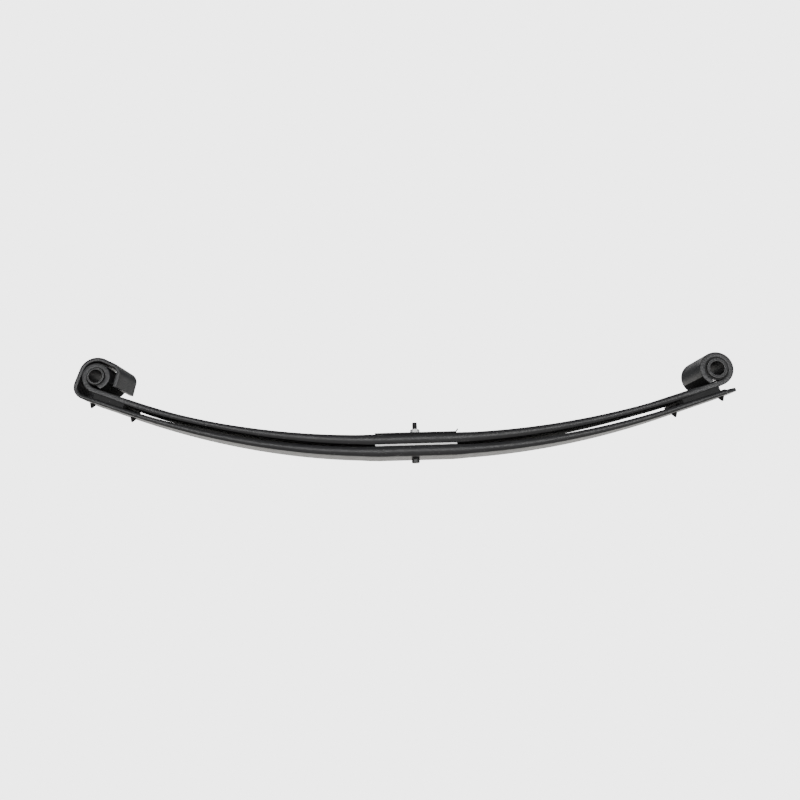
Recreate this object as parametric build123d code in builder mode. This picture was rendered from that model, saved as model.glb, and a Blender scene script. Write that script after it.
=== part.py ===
from build123d import *
from math import acos, cos, degrees, hypot, radians, sin
import os

# Two-leaf taper spring for the front axle of a truck.
# Frame: origin on the centre bolt's axis, in the flat underside of the seat. +X runs along the
# spring to the plain end, Y across its width, +Z up. All sizes are in millimetres and degrees.

# ---- driving dimensions -------------------------------------------------------------------
width = 76.2  # both leaves, plates and pads
half_width = width / 2
seat_half = 85.0  # the flat seat runs this far each side of the bolt
second_seat = 22.1  # thickness of the second (lower) leaf in the seat
liner_thick = 3.2
main_seat = 22.5  # thickness of the main (upper) leaf in the seat
plate_thick = 2.0
taper_start = 125.0  # past the seat's swell, the thickness falls in a straight line

# The values in braces are for the wrapped half (-1) and the plain half (1). Each half's arch is
# a parabola: "rise" per mm squared from "start" on, "late" added past late_start, no more bend
# past "straight". The thickness falls by "fall" per mm to "least", then grows by "swell".
main_shape = {
    "middle": second_seat + liner_thick + main_seat / 2,
    "in_seat": main_seat,
    "start": {-1: 61.0, 1: 56.6},
    "rise": {-1: 0.000313, 1: 0.000288},
    "late": {-1: 0.000181, 1: 0.0},
    "straight": {-1: 900.0, 1: 570.0},
    "at_taper": 20.4,
    "fall": {-1: 0.0275, 1: 0.0225},
    "least": {-1: 12.2, 1: 12.4},
    "swell": {-1: 1.3, 1: 2.1},
}
second_shape = {
    "middle": second_seat / 2,
    "in_seat": second_seat,
    "start": {-1: 54.0, 1: 58.7},
    "rise": {-1: 0.000329, 1: 0.0002985},
    "late": {-1: 0.0, 1: 0.0},
    "straight": {-1: 620.0, 1: 560.0},
    "at_taper": 19.5,
    "fall": {-1: 0.0205, 1: 0.01875},
    "least": {-1: 8.4, 1: 8.6},
    "swell": {-1: 0.0, 1: 0.0},
}
late_start = 480.0
swell_from = 495.0
swell_to = 555.0

eye_centre = {-1: (-667.8, 187.6), 1: (654.8, 171.2)}
eye_bore_r = {-1: 19.05, 1: 25.4}
eye_thick = {-1: 9.9, 1: 11.4}
eye_lean = {-1: 20.5, 1: 16.4}  # slope of the main leaf where it enters the eye
entry_extra_r = {-1: 9.0, 1: 2.2}  # the eye's first arc is this much wider than the eye
entry_turn = {-1: 65.0, 1: 60.0}
eye_straight = 25.0  # straight run of the main leaf before each eye
eye_tip_turn = 22.0  # the rolled end stops this far short of the leaf
scarf_over_bore = {-1: 2.8, 1: 0.6}  # the rolled end is cut flat this far outside the bore

wrap_thick = 8.4
wrap_start = -662.0  # the second leaf turns into its wrap here
wrap_low_corner_x = -721.3  # the wrap's outline has three rounded corners
wrap_corners = [(-688.5, 244.6), (-614.8, 207.1)]
wrap_radii = [28.0, 38.0, 21.0]
wrap_end = (-624.5, 163.1)
plain_end = 704.0
plain_trim = (30.0, 20.0)  # corners cut off the plain end, along and across

bolt_r = 5.5
bolt_hole_r = 6.0
bolt_head_r = 8.6
bolt_head_high = 10.7
bolt_above_plate = 28.2
nut_across_flats = 17.5
nut_high = 13.0
spot_deep = 0.4  # the bolt's head and the nut stand in shallow spot faces
head_spot_r = 9.6
nut_spot_r = 10.5
chamfer_small = 1.0

sleeve_bore_r = {-1: 14.3, 1: 15.9}
sleeve_r = {-1: 17.35, 1: 21.8}
sleeve_half = 40.6  # the sleeves stand 2.5 mm proud of the eyes
rubber_half = 37.0
running_gap = 0.05
sleeve_chamfer = 0.8

pad_flush = {-1: (-673.0, -611.0), 1: (576.0, 659.0)}  # block as wide as the leaves
pad_deep = 24.0  # more than fills the space between the leaves
pad_tab = {-1: (-693.0, -594.0), 1: (562.0, 690.0)}  # narrow tab under the block, for the studs
pad_tab_r = 8.5
pad_tab_thick = 4.0
pad_gap = 0.1
leaf_gap = 0.3
stud_at = {-1: (-602.6, -690.0), 1: (571.0, 680.0)}
stud_r = 4.2
stud_hole_r = 4.6
stud_barb_r = 6.0
stud_tip_r = 1.6
stud_long = 10.0
stud_shoulder = 1.6
stud_slot = 1.6

thread_gap = 0.05
lip_high = 5.5  # the top plate's end is turned up by this much
lip_long = 4.0
plate_span = (-86.0, 85.5)
liner_span = (-86.0, 86.5)
far_out = 40.0  # cutting shapes reach this far past the material

main_low = second_seat + liner_thick
main_top = main_low + main_seat
plate_top = main_top + plate_thick
FRONT = Plane.XZ.offset(half_width)  # its normal is -Y, so minus amounts run to the far side


# ---- formulas for the blades --------------------------------------------------------------
def smooth(value, start, end):
    """0 before start, 1 past end, a soft step between them."""
    share = min(1.0, max(0.0, (value - start) / (end - start)))
    return share * share * (3 - 2 * share)


def middle(x, leaf):
    """Height and slope of a leaf's middle surface at x."""
    side = 1 if x > 0 else -1
    run = max(0.0, abs(x) - leaf["start"][side])
    curved = min(run, leaf["straight"][side] - leaf["start"][side])
    late = max(0.0, abs(x) - late_start)
    rise = leaf["rise"][side] * (curved**2 + 2 * curved * (run - curved)) + leaf["late"][side] * late**2
    slope = 2 * leaf["rise"][side] * curved + 2 * leaf["late"][side] * late
    return leaf["middle"] + rise, slope * side


def thickness(x, leaf):
    """Thickness of a leaf at x: thick in the seat, then falling in a straight line."""
    side = 1 if x > 0 else -1
    far = abs(x)
    tapered = max(leaf["at_taper"] - leaf["fall"][side] * (far - taper_start), leaf["least"][side])
    tapered += leaf["swell"][side] * smooth(far, swell_from, swell_to)
    step = smooth(far, seat_half, taper_start)
    return leaf["in_seat"] * (1 - step) + tapered * step


def surface(x, leaf, over, gap=0.0):
    """Point on a leaf's top (over = 1) or underside (over = -1), moved out by gap."""
    z, slope = middle(x, leaf)
    half = thickness(x, leaf) / 2 + gap
    long = hypot(1, slope)
    return (x - over * half * slope / long, z + over * half / long)


def stations(side, last):
    """Places along one half of a leaf, from the seat to last, closer together by the seat."""
    near = [seat_half + 10.0 * step for step in range(1, 5)]
    count = 8
    far = [taper_start + (last - taper_start) * step / count for step in range(1, count + 1)]
    return [side * x for x in near + far]


# ---- main leaf ----------------------------------------------------------------------------
def around(centre, radius, side, turn):
    """Point on a circle, turn degrees round from the side that faces the leaf."""
    angle = radians(eye_lean[side] + turn)
    return (centre[0] + side * radius * sin(angle), centre[1] - radius * cos(angle))


def main_end(side):
    """Where the eye's entry arc meets the straight run: its point, directions and arc centre."""
    entry_rho = eye_bore_r[side] + eye_thick[side] / 2 + entry_extra_r[side]
    down = around((0, 0), 1, side, 0)  # from the arc's centre to the leaf
    along = around((0, 0), 1, side, 90)
    entry_centre = around(eye_centre[side], -entry_extra_r[side], side, entry_turn[side])
    meet = around(entry_centre, entry_rho, side, 0)
    return meet, along, down, entry_centre, entry_rho


def side_points(side, over):
    """Points on one face of one half of the main leaf, and where its straight run ends."""
    meet, along, down, *_ = main_end(side)
    shift = -over * eye_thick[side] / 2
    touch = tuple(m + shift * d for m, d in zip(meet, down))
    joint = tuple(t - eye_straight * a for t, a in zip(touch, along))
    blade = [surface(x, main_shape, over) for x in stations(side, 580.0)]
    return [(side * seat_half, main_top if over > 0 else main_low)] + blade + [joint], touch


with BuildPart() as main_leaf:
    with BuildSketch(FRONT):
        for side in (-1, 1):
            meet, along, down, entry_centre, entry_rho = main_end(side)
            low_points, low_end = side_points(side, -1)
            top_points, top_end = side_points(side, 1)
            centre = eye_centre[side]
            bore = eye_bore_r[side]
            outer = bore + eye_thick[side]
            first = entry_turn[side]
            # the rolled end is cut flat, parallel to the leaf it comes down to
            tip_turn = 360 - eye_tip_turn
            cut_at = bore + scarf_over_bore[side]
            cut_turn = 360 - degrees(acos(cut_at / outer))
            tip_in = around(centre, bore, side, tip_turn)
            tip_low = around(centre, cut_at / cos(radians(eye_tip_turn)), side, tip_turn)
            tip_out = around(centre, outer, side, cut_turn)
            with BuildLine():
                Line((0, main_low), low_points[0])
                Spline(*low_points, tangents=[(side, 0), along])
                Line(low_points[-1], low_end)
                for radius, start, roll_to, tip in (
                    (entry_rho + eye_thick[side] / 2, low_end, cut_turn, tip_out),
                    (entry_rho - eye_thick[side] / 2, top_end, tip_turn, tip_in),
                ):
                    eye_radius = radius - entry_extra_r[side]
                    join = around(centre, eye_radius, side, first)
                    ThreePointArc(start, around(entry_centre, radius, side, first / 2), join)
                    ThreePointArc(join, around(centre, eye_radius, side, (first + roll_to) / 2), tip)
                Polyline(tip_out, tip_low, tip_in)
                Line(top_points[-1], top_end)
                Spline(*top_points, tangents=[(side, 0), along])
                Line((0, main_top), top_points[0])
                Line((0, main_low), (0, main_top))
            make_face()
    extrude(amount=-width)
    with Locations((0, 0, main_top)):
        Hole(bolt_hole_r, depth=main_seat)

# ---- second leaf --------------------------------------------------------------------------
wrap_from = surface(wrap_start, second_shape, -1)
wrap_slope = middle(wrap_start, second_shape)[1]
wrap_low_corner = (wrap_low_corner_x, wrap_from[1] + wrap_slope * (wrap_low_corner_x - wrap_from[0]))


def stud_plane(x):
    """Plane on the second leaf's underside at x, its normal pointing out of the leaf, down."""
    slope = middle(x, second_shape)[1]
    low = surface(x, second_shape, -1)
    return Plane(origin=(low[0], 0, low[1]), x_dir=(0, 1, 0), z_dir=(slope, 0, -1))


with BuildPart() as second_leaf:
    with BuildSketch(FRONT):
        for side, last in ((-1, wrap_start), (1, plain_end)):
            slope = middle(last, second_shape)[1]
            places = stations(side, abs(last))
            low_points = [(side * seat_half, 0)] + [surface(x, second_shape, -1) for x in places]
            top_points = [(side * seat_half, second_seat)]
            top_points += [surface(x, second_shape, 1) for x in places]
            with BuildLine():
                Spline(*low_points, tangents=[(side, 0), (side, side * slope)])
                Spline(*top_points, tangents=[(side, 0), (side, side * slope)])
                Line(low_points[-1], top_points[-1])
                Line((0, 0), low_points[0])
                Line((0, second_seat), top_points[0])
                Line((0, 0), (0, second_seat))
            make_face()
        with BuildLine():
            outline = Polyline(wrap_from, wrap_low_corner, *wrap_corners, wrap_end)
            for corner, radius in zip([wrap_low_corner] + wrap_corners, wrap_radii):
                place = Vector(*corner)
                fillet(outline.vertices().sort_by_distance(place)[0], radius)
            offset(amount=wrap_thick, side=Side.RIGHT)
        make_face()
    extrude(amount=-width)
    with Locations((0, 0, second_seat)):
        Hole(bolt_hole_r, depth=second_seat)
    with Locations((0, 0, spot_deep)):
        Hole(head_spot_r, depth=spot_deep)
    # the corners of the plain end are cut off
    for corner_y in (-half_width, half_width):
        inward = -1 if corner_y > 0 else 1
        with BuildSketch(Plane.XY) as trims:
            with BuildLine():
                Polyline(
                    (plain_end - plain_trim[0], corner_y),
                    (plain_end + far_out, corner_y),
                    (plain_end + far_out, corner_y + inward * plain_trim[1]),
                    (plain_end, corner_y + inward * plain_trim[1]),
                    close=True,
                )
            make_face()
        extrude(amount=6 * far_out, mode=Mode.SUBTRACT)
    for side in (-1, 1):
        for x in stud_at[side]:
            with BuildSketch(stud_plane(x)):
                Circle(stud_hole_r)
            extrude(amount=far_out / 2, both=True, mode=Mode.SUBTRACT)

# ---- centre liner and top plate -----------------------------------------------------------
with BuildPart() as centre_liner:
    with BuildSketch(Plane.XY.offset(second_seat)):
        with Locations((sum(liner_span) / 2, 0)):
            Rectangle(liner_span[1] - liner_span[0], width)
        Circle(bolt_hole_r, mode=Mode.SUBTRACT)
    extrude(amount=liner_thick)
    fillet(centre_liner.edges().filter_by(Axis.Z).filter_by(GeomType.LINE), radius=2)

with BuildPart() as top_plate:
    with BuildSketch(FRONT):
        with BuildLine():
            Polyline(
                (plate_span[0], main_top),
                (plate_span[1], main_top),
                (plate_span[1] + lip_long, main_top + lip_high),
                (plate_span[1] + lip_long - plate_thick, main_top + lip_high + plate_thick),
                (plate_span[1] - plate_thick / 2, plate_top),
                (plate_span[0], plate_top),
                close=True,
            )
        make_face()
    extrude(amount=-width)
    with Locations((0, 0, plate_top)):
        Hole(bolt_hole_r, depth=plate_thick)
        Hole(nut_spot_r, depth=spot_deep)

# ---- centre bolt and its nut --------------------------------------------------------------
bolt_top = plate_top + bolt_above_plate
with BuildPart() as centre_bolt:
    with BuildSketch(Plane.XY.offset(-bolt_head_high)):
        Circle(bolt_head_r)
    extrude(amount=bolt_head_high + spot_deep)
    chamfer(centre_bolt.edges().sort_by(Axis.Z)[0], length=chamfer_small)
    with BuildSketch(Plane.XY):
        Circle(bolt_r)
    extrude(amount=bolt_top)
    chamfer(centre_bolt.edges().sort_by(Axis.Z)[-1], length=chamfer_small)

nut_low = plate_top - spot_deep
with BuildPart() as centre_nut:
    with BuildSketch(Plane.XY.offset(nut_low)):
        RegularPolygon(radius=nut_across_flats / 2, side_count=6, major_radius=False)
    extrude(amount=nut_high)
    # both ends are turned to a cone that takes the hexagon's corners off
    with BuildSketch(Plane.XZ) as cone:
        with BuildLine():
            Polyline(
                (0, nut_low),
                (nut_across_flats / 2, nut_low),
                (nut_across_flats / 2 + 2 * chamfer_small, nut_low + chamfer_small),
                (nut_across_flats / 2 + 2 * chamfer_small, nut_low + nut_high - chamfer_small),
                (nut_across_flats / 2, nut_low + nut_high),
                (0, nut_low + nut_high),
                close=True,
            )
        make_face()
    revolve(axis=Axis.Z, mode=Mode.INTERSECT)
    with Locations((0, 0, nut_low + nut_high)):
        Hole(bolt_r + thread_gap, depth=nut_high)


# ---- eye bushes: a rubber ring in each eye, a steel sleeve in each ring --------------------
def bush_parts(side):
    """Rubber ring and steel sleeve of the bush in one eye."""
    centre = eye_centre[side]
    with BuildPart() as rubber:
        with BuildSketch(Plane.XZ.offset(-rubber_half)):
            with Locations(centre):
                Circle(eye_bore_r[side] - running_gap)
                Circle(sleeve_r[side] + running_gap, mode=Mode.SUBTRACT)
        extrude(amount=2 * rubber_half)
    with BuildPart() as sleeve:
        with BuildSketch(Plane.XZ.offset(-sleeve_half)):
            with Locations(centre):
                Circle(sleeve_r[side])
                Circle(sleeve_bore_r[side], mode=Mode.SUBTRACT)
        extrude(amount=2 * sleeve_half)
        rims = sleeve.edges().filter_by(GeomType.CIRCLE)
        chamfer(rims, length=sleeve_chamfer)
    return rubber, sleeve


wrapped_eye_rubber, wrapped_eye_sleeve = bush_parts(-1)
plain_eye_rubber, plain_eye_sleeve = bush_parts(1)


# ---- tip pads: they fill the space between the leaves at each end --------------------------
def slab_outline(side, first, last, deep):
    """Side view of a pad from first to last: it rests on the second leaf, under the main leaf."""
    count = 6
    places = [first + (last - first) * step / count for step in range(count + 1)]
    low_points = [surface(x, second_shape, 1, pad_gap) for x in places]
    top_points = [surface(x, second_shape, 1, pad_gap + deep) for x in places]
    meet, along, down, entry_centre, entry_rho = main_end(side)
    under = [surface(x, main_shape, -1, leaf_gap) for x in stations(side, 580.0)]
    touch = tuple(m + (eye_thick[side] / 2 + leaf_gap) * d for m, d in zip(meet, down))
    joint = tuple(t - eye_straight * a for t, a in zip(touch, along))
    above = [tuple(t - 2 * far_out * d for t, d in zip(place, down)) for place in (touch, under[-4])]
    with BuildSketch() as outline:
        with BuildLine():
            Spline(*low_points)
            Spline(*top_points)
            Line(low_points[0], top_points[0])
            Line(low_points[-1], top_points[-1])
        make_face()
        with BuildLine():
            Spline(*under[-4:], joint, tangents=[tuple(u - v for u, v in zip(under[-3], under[-4])), along])
            Line(joint, touch)
            Polyline(touch, *above, under[-4])
        make_face(mode=Mode.SUBTRACT)
        with Locations(entry_centre):
            Circle(entry_rho + eye_thick[side] / 2 + leaf_gap, mode=Mode.SUBTRACT)
        with Locations(eye_centre[side]):
            Circle(eye_bore_r[side] + eye_thick[side] + leaf_gap, mode=Mode.SUBTRACT)
    return outline.sketch


def tip_pad(side):
    """Pad: a block between the leaves on a narrow round-ended tab with two snap studs."""
    tab = pad_tab[side]
    with BuildPart() as pad:
        with BuildSketch(Plane.XZ.offset(pad_tab_r)):
            add(slab_outline(side, *tab, pad_tab_thick))
        extrude(amount=-2 * pad_tab_r)
        inner_stud = stud_at[side][0]
        with BuildSketch(Plane.XY):
            with Locations((inner_stud, 0)):
                Circle(pad_tab_r)
            with Locations((inner_stud + side * far_out * 2, 0)):
                Rectangle(far_out * 4, 2 * pad_tab_r)
        extrude(amount=8 * far_out, mode=Mode.INTERSECT)
        with BuildSketch(FRONT):
            add(slab_outline(side, *pad_flush[side], pad_deep))
        extrude(amount=-width)
        for x in stud_at[side]:
            foot = stud_plane(x)
            deep = thickness(x, second_shape) + 2 * pad_gap
            with BuildSketch(foot.offset(-deep - pad_gap)):
                Circle(stud_r)
            extrude(amount=deep + 2 * pad_gap + stud_shoulder)
            with BuildSketch(foot.offset(stud_shoulder / 4)):
                Circle(stud_barb_r)
            with BuildSketch(foot.offset(stud_shoulder)):
                Circle(stud_barb_r)
            loft()
            with BuildSketch(foot.offset(stud_shoulder)):
                Circle(stud_barb_r)
            with BuildSketch(foot.offset(stud_long)):
                Circle(stud_tip_r)
            loft()
            with BuildSketch(foot.offset(-deep / 2)):
                Rectangle(stud_slot, 3 * stud_barb_r)
            extrude(amount=far_out, mode=Mode.SUBTRACT)
    return pad


wrapped_tip_pad = tip_pad(-1)
plain_tip_pad = tip_pad(1)

# ---- export -------------------------------------------------------------------------------
main_leaf.part.label = "main_leaf"
second_leaf.part.label = "second_leaf"
centre_liner.part.label = "centre_liner"
top_plate.part.label = "top_plate"
centre_bolt.part.label = "centre_bolt"
centre_nut.part.label = "centre_nut"
wrapped_eye_rubber.part.label = "wrapped_eye_rubber"
wrapped_eye_sleeve.part.label = "wrapped_eye_sleeve"
plain_eye_rubber.part.label = "plain_eye_rubber"
plain_eye_sleeve.part.label = "plain_eye_sleeve"
wrapped_tip_pad.part.label = "wrapped_tip_pad"
plain_tip_pad.part.label = "plain_tip_pad"

os.makedirs("parts", exist_ok=True)
export_step(main_leaf.part, "parts/main_leaf.step")
export_step(second_leaf.part, "parts/second_leaf.step")
export_step(centre_liner.part, "parts/centre_liner.step")
export_step(top_plate.part, "parts/top_plate.step")
export_step(centre_bolt.part, "parts/centre_bolt.step")
export_step(centre_nut.part, "parts/centre_nut.step")
export_step(wrapped_eye_rubber.part, "parts/wrapped_eye_rubber.step")
export_step(wrapped_eye_sleeve.part, "parts/wrapped_eye_sleeve.step")
export_step(plain_eye_rubber.part, "parts/plain_eye_rubber.step")
export_step(plain_eye_sleeve.part, "parts/plain_eye_sleeve.step")
export_step(wrapped_tip_pad.part, "parts/wrapped_tip_pad.step")
export_step(plain_tip_pad.part, "parts/plain_tip_pad.step")
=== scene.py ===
import math

import bmesh
import bpy
from mathutils import Matrix, Vector


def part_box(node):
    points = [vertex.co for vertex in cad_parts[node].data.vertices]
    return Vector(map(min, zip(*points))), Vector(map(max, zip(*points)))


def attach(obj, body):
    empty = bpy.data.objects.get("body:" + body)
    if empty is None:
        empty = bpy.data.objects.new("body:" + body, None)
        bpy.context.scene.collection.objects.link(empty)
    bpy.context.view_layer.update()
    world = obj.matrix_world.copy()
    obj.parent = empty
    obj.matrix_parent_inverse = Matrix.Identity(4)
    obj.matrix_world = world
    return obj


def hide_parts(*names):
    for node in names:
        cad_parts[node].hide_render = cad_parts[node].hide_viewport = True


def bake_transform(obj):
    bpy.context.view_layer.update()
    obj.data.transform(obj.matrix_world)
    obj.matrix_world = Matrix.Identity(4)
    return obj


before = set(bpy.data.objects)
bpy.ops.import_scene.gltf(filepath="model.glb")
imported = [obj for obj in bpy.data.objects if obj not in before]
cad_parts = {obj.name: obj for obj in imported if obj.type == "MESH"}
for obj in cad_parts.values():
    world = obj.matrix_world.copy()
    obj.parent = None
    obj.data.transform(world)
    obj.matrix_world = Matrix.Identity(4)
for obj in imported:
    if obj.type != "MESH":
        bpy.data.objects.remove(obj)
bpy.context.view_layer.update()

MM = 0.001

# ---- camera: below the seat's height, looking slightly up, turned a touch to the left --------
YAW, PITCH, ROLL = (math.radians(a) for a in (-1.416, 7.74, 1.861))
CAMERA_AT = (-0.0622, -1.128, -0.1668)
camera_data = bpy.data.cameras.new("camera")
camera = bpy.data.objects.new("camera", camera_data)
bpy.context.scene.collection.objects.link(camera)
bpy.context.scene.camera = camera
turn = Matrix.Rotation(YAW, 3, "Z") @ Matrix.Rotation(PITCH, 3, "X") @ Matrix.Rotation(ROLL, 3, "Y")
look = turn @ Matrix.Rotation(math.radians(90), 3, "X")
camera.matrix_world = Matrix.Translation(CAMERA_AT) @ look.to_4x4()
camera_data.sensor_width = 36
camera_data.lens = 23.85
camera_data.shift_y = 0.081
camera_data.clip_start = 0.01
camera_data.clip_end = 50


# ---- materials ------------------------------------------------------------------------------
def node_tools(material):
    """The material's node tree with short ways to add and join nodes."""
    tree = material.node_tree
    tree.nodes.clear()

    def add(kind, **values):
        node = tree.nodes.new(kind)
        for key, value in values.items():
            if hasattr(node, key):
                setattr(node, key, value)
            else:
                node.inputs[key.replace("_", " ")].default_value = value
        return node

    def join(a, out, b, into):
        tree.links.new(a.outputs[out], b.inputs[into])

    return tree, add, join


def finish_material(name, base, dark, rough, metallic=0.0, grain=900.0, grain_depth=0.05,
                    mottle=22.0, streaks=0.0, streak_tone=(0.3, 0.29, 0.28, 1), dust=0.0,
                    coat=0.0, specular=0.5, rough_spread=0.08):
    """A surface with a mottled tone, a fine bumpy grain, optional scratch streaks and dust flecks; the
    light streaks near the seat are partly wear, partly painted highlight.
    """
    material = bpy.data.materials.new(name)
    material.use_nodes = True
    tree, add, join = node_tools(material)
    out = add("ShaderNodeOutputMaterial")
    shader = add("ShaderNodeBsdfPrincipled", Metallic=metallic)
    shader.inputs["Specular IOR Level"].default_value = specular
    if coat:
        shader.inputs["Coat Weight"].default_value = coat
        shader.inputs["Coat Roughness"].default_value = 0.18
    join(shader, "BSDF", out, "Surface")
    place = add("ShaderNodeTexCoord")
    cloud = add("ShaderNodeTexNoise", Scale=mottle, Detail=4.0, Roughness=0.6)
    join(place, "Object", cloud, "Vector")
    tone = add("ShaderNodeMix", data_type="RGBA")
    tone.inputs["A"].default_value = (*dark, 1)
    tone.inputs["B"].default_value = (*base, 1)
    join(cloud, "Fac", tone, "Factor")
    colour, colour_out = tone, "Result"
    if streaks:
        stretch = add("ShaderNodeMapping")
        stretch.inputs["Scale"].default_value = (7, 40, 130)
        join(place, "Object", stretch, "Vector")
        lines = add("ShaderNodeTexNoise", Scale=3.0, Detail=7.0, Roughness=0.72)
        join(stretch, "Vector", lines, "Vector")
        cut = add("ShaderNodeMapRange")
        cut.inputs["From Min"].default_value = 0.60
        cut.inputs["From Max"].default_value = 0.70
        cut.inputs["To Max"].default_value = streaks
        join(lines, "Fac", cut, "Value")
        # light scratch streaks are strongest near the seat, where the clamps sit: partly rubbing wear,
        # partly painted highlight streaks in the lit band there
        spread = add("ShaderNodeSeparateXYZ")
        join(place, "Object", spread, "Vector")
        off = add("ShaderNodeMath", operation="ABSOLUTE")
        tree.links.new(spread.outputs["X"], off.inputs[0])
        seat = add("ShaderNodeMapRange")
        seat.inputs["From Min"].default_value = 0.09
        seat.inputs["From Max"].default_value = 0.20
        seat.inputs["To Min"].default_value = 1.0
        seat.inputs["To Max"].default_value = 0.25
        tree.links.new(off.outputs[0], seat.inputs["Value"])
        seat_streaks = add("ShaderNodeMath", operation="MULTIPLY")
        join(cut, "Result", seat_streaks, 0)
        join(seat, "Result", seat_streaks, 1)
        streaked_tone = add("ShaderNodeMix", data_type="RGBA")
        streaked_tone.inputs["B"].default_value = streak_tone
        join(seat_streaks, 0, streaked_tone, "Factor")
        tree.links.new(colour.outputs[colour_out], streaked_tone.inputs["A"])
        colour = streaked_tone
    if dust:
        speck = add("ShaderNodeTexNoise", Scale=260.0, Detail=2.0, Roughness=0.5)
        join(place, "Object", speck, "Vector")
        few = add("ShaderNodeMapRange")
        few.inputs["From Min"].default_value = 0.69
        few.inputs["From Max"].default_value = 0.76
        few.inputs["To Max"].default_value = dust
        join(speck, "Fac", few, "Value")
        dusty = add("ShaderNodeMix", data_type="RGBA")
        dusty.inputs["B"].default_value = (0.32, 0.31, 0.30, 1)
        join(few, "Result", dusty, "Factor")
        tree.links.new(colour.outputs[colour_out], dusty.inputs["A"])
        colour = dusty
    tree.links.new(colour.outputs["Result"], shader.inputs["Base Color"])
    patch = add("ShaderNodeTexNoise", Scale=mottle * 3, Detail=5.0, Roughness=0.6)
    join(place, "Object", patch, "Vector")
    gloss = add("ShaderNodeMapRange")
    gloss.inputs["To Min"].default_value = rough - rough_spread
    gloss.inputs["To Max"].default_value = rough + rough_spread
    join(patch, "Fac", gloss, "Value")
    join(gloss, "Result", shader, "Roughness")
    fine = add("ShaderNodeTexNoise", Scale=grain, Detail=3.0, Roughness=0.55)
    join(place, "Object", fine, "Vector")
    bump = add("ShaderNodeBump", Strength=grain_depth, Distance=0.001)
    join(fine, "Fac", bump, "Height")
    join(bump, "Normal", shader, "Normal")
    return material


PAINT = finish_material("black_paint", (0.034, 0.034, 0.036), (0.021, 0.021, 0.022), 0.36,
                        grain=300.0, grain_depth=0.55, streaks=0.55, dust=0.35)
ZINC = finish_material("zinc_plate", (0.80, 0.80, 0.79), (0.64, 0.64, 0.64), 0.42, metallic=0.35,
                       grain=600.0, grain_depth=0.2, streaks=0.25, streak_tone=(0.4, 0.4, 0.4, 1))
RUBBER = finish_material("rubber", (0.014, 0.014, 0.014), (0.008, 0.008, 0.008), 0.72,
                         grain=700.0, grain_depth=0.4, dust=0.25)
PLASTIC = finish_material("pad_plastic", (0.016, 0.016, 0.017), (0.008, 0.008, 0.008), 0.62,
                          grain=260.0, grain_depth=0.6, dust=0.3, specular=0.35)
# painted shade: a darker, duller copy of the black paint, for leaf faces that turn down into shade
SHADED = finish_material("shaded_paint", (0.012, 0.012, 0.012), (0.006, 0.006, 0.006), 0.85,
                         grain=420.0, grain_depth=0.3, dust=0.15, specular=0.12)
SLEEVE = finish_material("sleeve_paint", (0.026, 0.026, 0.028), (0.014, 0.014, 0.015), 0.42,
                         grain=500.0, grain_depth=0.3, streaks=0.3)


def paint_rim_highlights(material, low, high, tone):
    """A painted highlight: a lighter base colour where a tube's ends are chamfered, picked by the
    distance from mid width.
    """
    tree = material.node_tree
    shader = next(n for n in tree.nodes if n.type == "BSDF_PRINCIPLED")
    place = tree.nodes.new("ShaderNodeNewGeometry")
    split = tree.nodes.new("ShaderNodeSeparateXYZ")
    tree.links.new(place.outputs["Position"], split.inputs[0])
    size = tree.nodes.new("ShaderNodeMath")
    size.operation = "ABSOLUTE"
    tree.links.new(split.outputs["Y"], size.inputs[0])
    band = tree.nodes.new("ShaderNodeMath")
    band.operation = "COMPARE"
    band.inputs[1].default_value = (low + high) / 2
    band.inputs[2].default_value = (high - low) / 2
    tree.links.new(size.outputs[0], band.inputs[0])
    mix = tree.nodes.new("ShaderNodeMix")
    mix.data_type = "RGBA"
    mix.inputs["B"].default_value = (*tone, 1)
    tree.links.new(band.outputs[0], mix.inputs["Factor"])
    was = shader.inputs["Base Color"].links[0].from_socket
    tree.links.new(was, mix.inputs["A"])
    tree.links.new(mix.outputs["Result"], shader.inputs["Base Color"])


# painted highlight: the sleeves' chamfered rims get a lighter tone in place of the bright edges they
# catch
RIM_FROM, RIM_TO = 0.03985, 0.04052
paint_rim_highlights(SLEEVE, RIM_FROM, RIM_TO, (0.20, 0.20, 0.20))
BARE = finish_material("bare_steel", (0.62, 0.61, 0.60), (0.42, 0.41, 0.40), 0.34, metallic=0.9,
                       grain=800.0, grain_depth=0.3, streaks=0.3, streak_tone=(0.2, 0.19, 0.18, 1))

# ---- the leaves, drawn as strips with rounded long edges ---------------------------------------
WIDTH = 76.2
SEAT, TAPER_START, LATE_START, SWELL = 85.0, 125.0, 480.0, (495.0, 555.0)
SECOND_SEAT, LINER, MAIN_SEAT = 22.1, 3.2, 22.5
MAIN = dict(mid=SECOND_SEAT + LINER + MAIN_SEAT / 2, seat=MAIN_SEAT, start={-1: 61.0, 1: 56.6},
            rise={-1: 0.000313, 1: 0.000288}, late={-1: 0.000181, 1: 0.0},
            straight={-1: 900.0, 1: 570.0}, at_taper=20.4, fall={-1: 0.0275, 1: 0.0225},
            least={-1: 12.2, 1: 12.4}, swell={-1: 1.3, 1: 2.1})
SECOND = dict(mid=SECOND_SEAT / 2, seat=SECOND_SEAT, start={-1: 54.0, 1: 58.7},
              rise={-1: 0.000329, 1: 0.0002985}, late={-1: 0.0, 1: 0.0},
              straight={-1: 620.0, 1: 560.0}, at_taper=19.5, fall={-1: 0.0205, 1: 0.01875},
              least={-1: 8.4, 1: 8.6}, swell={-1: 0.0, 1: 0.0})
EYE = {-1: (-667.8, 187.6), 1: (654.8, 171.2)}
EYE_BORE, EYE_THICK = {-1: 19.05, 1: 25.4}, {-1: 9.9, 1: 11.4}
EYE_LEAN, EYE_STRAIGHT = {-1: 20.5, 1: 16.4}, 25.0
ENTRY_EXTRA, ENTRY_TURN = {-1: 9.0, 1: 2.2}, {-1: 65.0, 1: 60.0}
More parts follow.
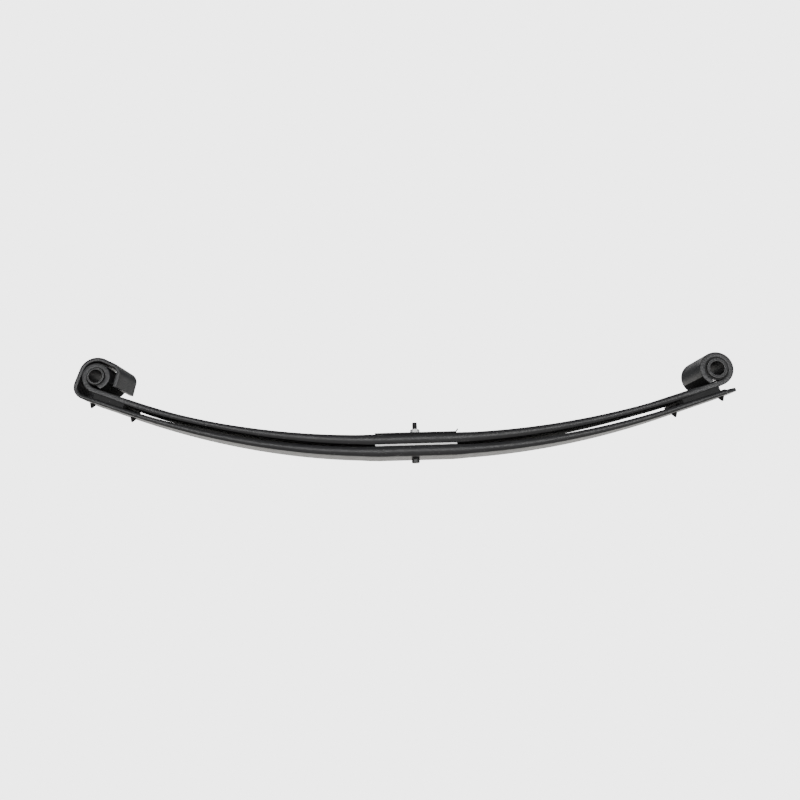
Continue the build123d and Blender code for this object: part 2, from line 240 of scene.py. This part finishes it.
TIP_TURN, SCARF = 22.0, {-1: 2.8, 1: 0.6}
WRAP_THICK, WRAP_START, PLAIN_END = 8.4, 662.0, 704.0
WRAP_LOW_X, WRAP_TOP, WRAP_FRONT, WRAP_TIP = -721.3, (-688.5, 244.6), (-614.8, 207.1), (-624.5, 163.1)
WRAP_RADII = [28.0, 38.0, 21.0]
BLADE_END = 580.0
TRIM_LONG, TRIM_WIDE = 30.0, 20.0
CROWN = 0.19


def smooth(a, b, x):
    t = min(1.0, max(0.0, (x - a) / (b - a)))
    return t * t * (3 - 2 * t)


def leaf_middle(leaf, x):
    """Height and slope of a leaf's middle at x."""
    side = 1 if x > 0 else -1
    run = max(0.0, abs(x) - leaf["start"][side])
    curved = min(run, leaf["straight"][side] - leaf["start"][side])
    late = max(0.0, abs(x) - LATE_START)
    k, extra = leaf["rise"][side], leaf["late"][side]
    rise = k * (curved ** 2 + 2 * curved * (run - curved)) + extra * late ** 2
    return leaf["mid"] + rise, (2 * k * curved + 2 * extra * late) * side


def leaf_thickness(leaf, x):
    far = abs(x)
    side = 1 if x > 0 else -1
    tapered = max(leaf["at_taper"] - leaf["fall"][side] * (far - TAPER_START), leaf["least"][side])
    tapered += leaf["swell"][side] * smooth(*SWELL, far)
    s = smooth(SEAT, TAPER_START, far)
    return leaf["seat"] * (1 - s) + tapered * s


def leaf_pair(leaf, x):
    """Points on the underside and on the top of a leaf at x."""
    z, slope = leaf_middle(leaf, x)
    if abs(x) <= SEAT:
        z, slope = leaf["mid"], 0.0
    half = leaf_thickness(leaf, x) / 2
    normal = Vector((-slope, 1)).normalized()
    middle = Vector((x, z))
    return middle - normal * half, middle + normal * half


def blade(leaf, side, first, last, step=5.0):
    """Pairs of points along one half of a leaf."""
    count = max(2, round((last - first) / step))
    return [leaf_pair(leaf, side * (first + (last - first) * i / count)) for i in range(count + 1)]


def hermite(a, da, b, db, t):
    """A smooth curve from a to b that leaves along da and arrives along db."""
    return ((2 * t ** 3 - 3 * t ** 2 + 1) * a + (t ** 3 - 2 * t ** 2 + t) * da
            + (-2 * t ** 3 + 3 * t ** 2) * b + (t ** 3 - t ** 2) * db)


def strip_mesh(name, pairs, half_widths, crowns, edge=1.2):
    """A rolled bar swept through pairs of (outer, inner) points; its sides are crowned arcs."""
    verts, faces = [], []
    ring_count = None
    for (low, high), half, crown in zip(pairs, half_widths, crowns):
        up = high - low
        thick = up.length
        sagitta = crown * thick
        radius = (thick * thick / 4 + sagitta * sagitta) / (2 * sagitta)
        spread = math.asin(thick / 2 / radius)
        side_line = []
        count = 12
        for i in range(count + 1):
            a = -spread + 2 * spread * i / count
            side_line.append((half - radius + radius * math.cos(a),
                              thick / 2 + radius * math.sin(a)))
        # a small round takes the sharp line off where the side meets the broad face
        y0, y1 = side_line[0], side_line[1]
        foot = (y0[0] - edge, y0[1])
        knee = (y0[0] + (y1[0] - y0[0]) * 0.12 - 0.12 * edge, y0[1] + 0.22 * edge)
        half_loop = [foot, knee] + side_line[1:-1]
        half_loop += [(knee[0], thick - knee[1]), (foot[0], thick)]
        section = [(-y, z) for y, z in half_loop] + [(y, z) for y, z in reversed(half_loop)]
        # points across the two broad faces keep the quads short
        full = []
        for i, (y, z) in enumerate(section):
            full.append((y, z))
            y2, z2 = section[(i + 1) % len(section)]
            if abs(y2 - y) > half:
                full += [(y + (y2 - y) * f, z) for f in (0.25, 0.5, 0.75)]
        ring_count = len(full)
        for y, z in full:
            p = low + up * (z / thick)
            verts.append((p.x * MM, y * MM, p.y * MM))
    rings = len(pairs)
    for i in range(rings - 1):
        for j in range(ring_count):
            k = (j + 1) % ring_count
            faces.append((i * ring_count + j, i * ring_count + k,
                          (i + 1) * ring_count + k, (i + 1) * ring_count + j))
    faces.append(tuple(reversed(range(ring_count))))
    faces.append(tuple((rings - 1) * ring_count + j for j in range(ring_count)))
    mesh = bpy.data.meshes.new(name)
    mesh.from_pydata(verts, [], faces)
    mesh.update()
    obj = bpy.data.objects.new(name, mesh)
    bpy.context.scene.collection.objects.link(obj)
    flat_keys = set()
    for polygon in mesh.polygons:
        polygon.use_smooth = len(polygon.vertices) == 4
        if not polygon.use_smooth:
            flat_keys.update(polygon.edge_keys)
    for mesh_edge in mesh.edges:
        mesh_edge.use_edge_sharp = mesh_edge.key in flat_keys
    return obj


def fix_normals(obj):
    work = bmesh.new()
    work.from_mesh(obj.data)
    bmesh.ops.recalc_face_normals(work, faces=work.faces)
    work.to_mesh(obj.data)
    work.free()


def arc_pairs(centre, inner, outer, start, turn, count, both=None):
    """Pairs on a ring from the angle start on; both gives a different last angle to each wall."""
    out = []
    for i in range(count + 1):
        f = i / count
        a_out = a_in = math.radians(start + turn * f)
        if both:
            ease = smooth(0.55, 1.0, f)
            a_out = math.radians(start + turn * f + both[0] * ease)
            a_in = math.radians(start + turn * f + both[1] * ease)
        out.append((Vector((centre[0] + outer * math.cos(a_out), centre[1] + outer * math.sin(a_out))),
                    Vector((centre[0] + inner * math.cos(a_in), centre[1] + inner * math.sin(a_in)))))
    return out


def main_half(side):
    """Pairs along one half of the main leaf and round its eye."""
    bore, thick, extra = EYE_BORE[side], EYE_THICK[side], ENTRY_EXTRA[side]
    rho = bore + thick / 2
    lean = math.radians(EYE_LEAN[side])
    down = Vector((side * math.sin(lean), -math.cos(lean)))
    along = Vector((side * math.cos(lean), math.sin(lean)))
    turned = lean + math.radians(ENTRY_TURN[side])
    back = Vector((side * math.sin(turned), -math.cos(turned)))
    centre = Vector(EYE[side])
    entry_centre = centre - extra * back
    meet = entry_centre + (rho + extra) * down
    joint = meet - EYE_STRAIGHT * along
    pairs = blade(MAIN, side, 0.0, BLADE_END)
    low0, high0 = pairs[-1]
    slope = leaf_middle(MAIN, side * BLADE_END)[1] * side
    leave = Vector((side, slope)).normalized()
    for i in range(1, 13):
        t = i / 12
        ends = []
        for p0, shift in ((low0, 1), (high0, -1)):
            p1 = joint + shift * thick / 2 * down
            span = (p1 - p0).length
            ends.append(hermite(p0, leave * span, p1, along * span, t))
        pairs.append(tuple(ends))
    for i in range(1, 5):
        p = joint + along * (EYE_STRAIGHT * i / 5)
        pairs.append((p + down * thick / 2, p - down * thick / 2))
    low_angle = math.degrees(math.atan2(down.y, down.x))
    inner = rho + extra - thick / 2
    pairs += arc_pairs(entry_centre, inner, inner + thick, low_angle, side * ENTRY_TURN[side], 16)
    start = low_angle + side * ENTRY_TURN[side]
    # the rolled end is cut flat, parallel to the leaf below it: the outer wall stops sooner
    cut_at = bore + SCARF[side]
    outer_short = math.degrees(math.acos(cut_at / (bore + thick)))
    rolled = 360 - ENTRY_TURN[side] - TIP_TURN
    pairs += arc_pairs(EYE[side], bore, bore + thick, start, side * rolled, 72,
                       both=(-side * (outer_short - TIP_TURN), 0.0))[1:]
    return pairs


def corner_path(points, radii, step=3.0):
    """A path through points with its corners rounded, as (point, direction) pairs."""
    out = []
    here = Vector(points[0])
    for i, radius in enumerate(radii):
        corner = Vector(points[i + 1])
        after = Vector(points[i + 2])
        d0 = (corner - here).normalized()
        d1 = (after - corner).normalized()
        swing = d0.angle_signed(d1)
        reach = radius * math.tan(abs(swing) / 2)
        begin = corner - d0 * reach
        run = (begin - here).length
        for j in range(max(1, round(run / step))):
            out.append((here.lerp(begin, j / max(1, round(run / step))), d0))
        # angle_signed is clockwise-positive in 2D
        normal = Vector((d0.y, -d0.x)) if swing > 0 else Vector((-d0.y, d0.x))
        middle = begin + normal * radius
        count = max(4, round(abs(swing) * radius / step))
        for j in range(count):
            a = -swing * j / count
            out.append((middle + Matrix.Rotation(a, 2) @ (begin - middle), Matrix.Rotation(a, 2) @ d0))
        here = middle + Matrix.Rotation(-swing, 2) @ (begin - middle)
        heading = d1
    end = Vector(points[-1])
    run = (end - here).length
    count = max(2, round(run / step))
    for j in range(count + 1):
        out.append((here.lerp(end, j / count), heading))
    return out


def second_half(side):
    """Pairs and half widths along one half of the second leaf."""
    if side > 0:
        pairs = blade(SECOND, 1, 0.0, PLAIN_END)
        widths = []
        for low, high in pairs:
            cut = max(0.0, (high.x - (PLAIN_END - TRIM_LONG)) / TRIM_LONG)
            widths.append(WIDTH / 2 - TRIM_WIDE * cut)
        return pairs, widths
    pairs = blade(SECOND, -1, 0.0, WRAP_START)
    low, high = pairs[-1]
    slope = leaf_middle(SECOND, -WRAP_START)[1]
    corner = Vector((WRAP_LOW_X, low.y + slope * (WRAP_LOW_X - low.x)))
    route = corner_path([low, corner, WRAP_TOP, WRAP_FRONT, WRAP_TIP], WRAP_RADII)
    wrap = []
    for p, d in route[1:]:
        inward = Vector((d.y, -d.x))
        wrap.append((p, p + inward * WRAP_THICK))
    return pairs + wrap, [WIDTH / 2] * (len(pairs) + len(wrap))


def make_leaf(name, node, pairs, widths, flatter_from, flatter_to, least_crown):
    """One half of a leaf; its crowned sides grow flatter between two distances along it."""
    crowns, run, was = [], 0.0, pairs[0][0]
    for low, high in pairs:
        run += (low - was).length
        was = low
        crowns.append(CROWN + (least_crown - CROWN) * smooth(flatter_from, flatter_to, run))
    obj = strip_mesh(name, pairs, widths, crowns)
    fix_normals(obj)
    obj.data.materials.append(PAINT)
    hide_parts(node)
    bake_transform(obj)
    return obj


for side, end in ((-1, "wrapped"), (1, "plain")):
    pairs = main_half(side)
    leaf = make_leaf(f"main_leaf_{end}_half", "main_leaf", pairs,
                     [WIDTH / 2] * len(pairs), 560.0, 650.0, 0.035)
    # painted shade: the underside that faces the second leaf, and the eye's lower side, get the dull,
    # dark shaded paint where shade falls on them
    leaf.data.materials.append(SHADED)
    for polygon in leaf.data.polygons:
        under = polygon.normal.z < -0.8 and abs(polygon.center.x) < 0.65 and polygon.center.z < 0.17
        turned_down = polygon.normal.z < -0.45 and abs(polygon.normal.y) < 0.5
        belly = turned_down and abs(polygon.center.x) > 0.6
        if under or belly:
            polygon.material_index = 1
    if side > 0:
        # the paint is cut away at the tip of this eye's rolled end
        leaf.data.materials.append(BARE)
        tip = pairs[-1][1] * MM
        for polygon in leaf.data.polygons:
            spot = polygon.center
            close = math.hypot(spot.x - tip.x, spot.z - tip.y) < 0.0095
            if close and spot.z > tip.y - 0.006 and spot.x < tip.x + 0.001 and abs(spot.y) > 0.03:
                polygon.material_index = 2
    pairs, widths = second_half(side)
    make_leaf(f"second_leaf_{end}_half", "second_leaf", pairs, widths,
              700.0, 860.0, 0.08)

# ---- centre bolt with a rolled thread ----------------------------------------------------------
bolt_low, bolt_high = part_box("centre_bolt")
HEAD_HIGH, HEAD_R, BOLT_R, PITCH = 0.0111, 0.0086, 0.0055, 0.00127


def bolt_mesh():
    """Round head, plain shank, and a helical thread over the upper part."""
    z0, z1 = bolt_low[2], bolt_high[2]
    rows = [(z0, 0.0), (z0, HEAD_R - 0.0012), (z0 + 0.0009, HEAD_R - 0.0002), (z0 + 0.0013, HEAD_R),
            (z0 + HEAD_HIGH - 0.0004, HEAD_R), (z0 + HEAD_HIGH, HEAD_R - 0.0004),
            (z0 + HEAD_HIGH, BOLT_R)]
    thread_from = 0.040
    z = z0 + HEAD_HIGH + 0.001
    while z < thread_from:
        rows.append((z, BOLT_R))
        z += 0.004
    step = PITCH / 6
    z = thread_from
    while z < z1 - 0.0002:
        rows.append((z, -1.0))
        z += step
    around = 36
    verts, faces = [], []
    for z, r in rows:
        for i in range(around):
            a = 2 * math.pi * i / around
            if r < 0:
                phase = (z / PITCH - i / around) % 1.0
                depth = 0.0005 * (1 - abs(2 * phase - 1))
                fade = min(1.0, (z - thread_from) / 0.002)
                tip = min(1.0, max(0.0, (z1 - z) / 0.0012))
                radius = (BOLT_R - depth * fade) * (0.84 + 0.16 * tip)
            else:
                radius = r
            verts.append((radius * math.cos(a), radius * math.sin(a), z))
    for row in range(len(rows) - 1):
        for i in range(around):
            j = (i + 1) % around
            faces.append((row * around + i, row * around + j,
                          (row + 1) * around + j, (row + 1) * around + i))
    faces.append(tuple((len(rows) - 1) * around + i for i in range(around)))
    return verts, faces


mesh = bpy.data.meshes.new("threaded_centre_bolt")
bolt_verts, bolt_faces = bolt_mesh()
mesh.from_pydata(bolt_verts, [], bolt_faces)
mesh.update()
bolt = bpy.data.objects.new("threaded_centre_bolt", mesh)
bpy.context.scene.collection.objects.link(bolt)
fix_normals(bolt)
mesh.materials.append(PAINT)
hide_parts("centre_bolt")
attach(bolt, "clamped_leaves")

# ---- CAD nodes that are shown as they are ------------------------------------------------------
FINISH = {"centre_liner": ZINC, "top_plate": PAINT, "centre_nut": ZINC,
          "wrapped_eye_rubber": RUBBER, "plain_eye_rubber": RUBBER,
          "wrapped_eye_sleeve": SLEEVE, "plain_eye_sleeve": SLEEVE,
          "wrapped_tip_pad": PLASTIC, "plain_tip_pad": PLASTIC}
for node, material in FINISH.items():
    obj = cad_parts[node]
    obj.data.materials.clear()
    obj.data.materials.append(material)
    soften = obj.modifiers.new("soften", "BEVEL")
    soften.width = 0.0004
    soften.segments = 2
    soften.limit_method = "ANGLE"
    soften.angle_limit = math.radians(35)
    soften.harden_normals = True

# ---- floor, surroundings and light -------------------------------------------------------------
def show_to_camera(tree, add, join, reflected, direct, out):
    """Light the camera sees directly is kept apart from what reflections see."""
    seen = add("ShaderNodeLightPath")
    both = add("ShaderNodeMixShader")
    join(seen, "Is Camera Ray", both, "Fac")
    tree.links.new(reflected.outputs[0], both.inputs[1])
    tree.links.new(direct.outputs[0], both.inputs[2])
    join(both, "Shader", out, "Surface")


floor_mesh = bpy.data.meshes.new("floor")
FLOOR_REACH, FLOOR_Z = 60.0, -0.36
corners = [(x * FLOOR_REACH, y * FLOOR_REACH, FLOOR_Z) for x, y in ((-1, -1), (1, -1), (1, 1), (-1, 1))]
floor_mesh.from_pydata(corners, [], [(0, 1, 2, 3)])
floor = bpy.data.objects.new("floor", floor_mesh)
bpy.context.scene.collection.objects.link(floor)
floor_material = bpy.data.materials.new("floor")
floor_material.use_nodes = True
tree, add, join = node_tools(floor_material)
out = add("ShaderNodeOutputMaterial")
# seen in reflections the floor is dim below the spring and bright behind it
glow = add("ShaderNodeEmission", Color=(1.0, 0.98, 0.945, 1))
spot = add("ShaderNodeNewGeometry")
split = add("ShaderNodeSeparateXYZ")
join(spot, "Position", split, "Vector")
far = add("ShaderNodeMapRange")
far.inputs["From Min"].default_value = 0.1
far.inputs["From Max"].default_value = 1.6
far.inputs["To Min"].default_value = 0.38
far.inputs["To Max"].default_value = 1.75
join(split, "Y", far, "Value")
join(far, "Result", glow, "Strength")
shine = add("ShaderNodeEmission", Strength=4.0)
show_to_camera(tree, add, join, glow, shine, out)
floor_mesh.materials.append(floor_material)

world = bpy.data.worlds.new("surroundings")
bpy.context.scene.world = world
world.use_nodes = True
tree, add, join = node_tools(world)
out = add("ShaderNodeOutputWorld")
# the background node's own colour is 0.8 grey, so 5.0 here matches the floor's 4.0
backdrop = add("ShaderNodeBackground", Strength=5.0)
studio = add("ShaderNodeBackground", Color=(0.9, 0.95, 1.0, 1))
way = add("ShaderNodeTexCoord")
split = add("ShaderNodeSeparateXYZ")
join(way, "Generated", split, "Vector")
height = add("ShaderNodeMapRange")
height.inputs["From Min"].default_value = 0.05
height.inputs["From Max"].default_value = 0.55
height.inputs["To Min"].default_value = 0.34
height.inputs["To Max"].default_value = 0.07
join(split, "Z", height, "Value")
join(height, "Result", studio, "Strength")
show_to_camera(tree, add, join, studio, backdrop, out)


def soft_light(name, place, target, size, power, size_y):
    data = bpy.data.lights.new(name, "AREA")
    data.shape = "RECTANGLE"
    data.size = size
    data.size_y = size_y
    data.energy = power
    light = bpy.data.objects.new(name, data)
    bpy.context.scene.collection.objects.link(light)
    light.location = place
    light.rotation_euler = (Vector(target) - Vector(place)).to_track_quat("-Z", "Y").to_euler()


soft_light("front_strip", (0.0, -3.2, 0.50), (0, 0, 0.12), 8.0, 125.0, 0.62)
soft_light("back_fill", (0.3, 2.4, 2.8), (0, 0, 0.1), 4.0, 30.0, 1.0)
